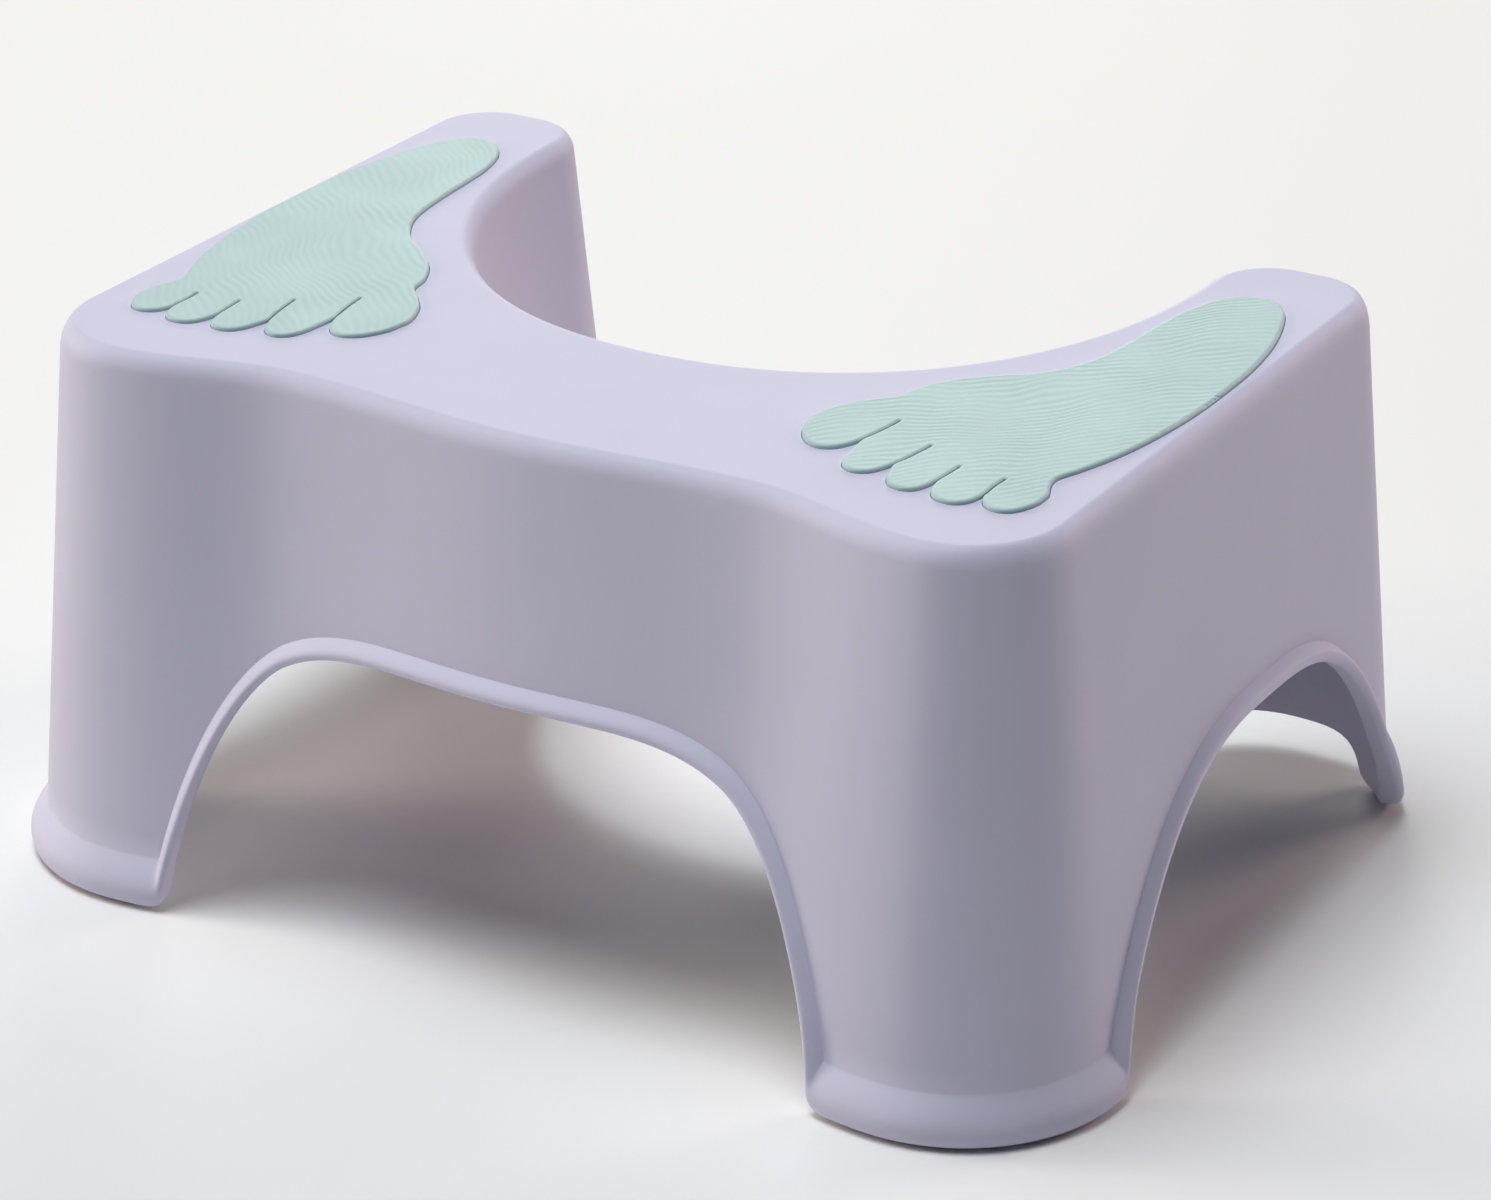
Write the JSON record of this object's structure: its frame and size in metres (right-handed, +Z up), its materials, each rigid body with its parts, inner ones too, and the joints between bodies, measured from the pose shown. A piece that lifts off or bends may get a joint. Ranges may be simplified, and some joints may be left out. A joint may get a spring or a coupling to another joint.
{
  "type": "toilet footstool",
  "caption": "Low moulded footstool with a deep U notch that goes round a toilet bowl, arched walls, corner feet and foot-shaped rubber grip mats.",
  "frame": {"origin": "on the floor under the middle of the stool", "axes": "+Z up; -Y out through the long front wall; +Y out through the open side of the notch, where the toilet stands; +X to the left of the user, who sits at +Y and faces -Y"},
  "size_m": [0.378, 0.2794, 0.1762],
  "materials": {
    "lavender_plastic": "satin moulded polypropylene",
    "mint_rubber": "soft rippled thermoplastic rubber",
    "pad_rubber": "matt grey rubber"
  },
  "bodies": {
    "root": {"stool_shell": "lavender_plastic", "left_foot_mat": "mint_rubber", "right_foot_mat": "mint_rubber", "front_left_foot_pad": "pad_rubber", "front_right_foot_pad": "pad_rubber", "back_left_foot_pad": "pad_rubber", "back_right_foot_pad": "pad_rubber"}
  },
  "joints": []
}
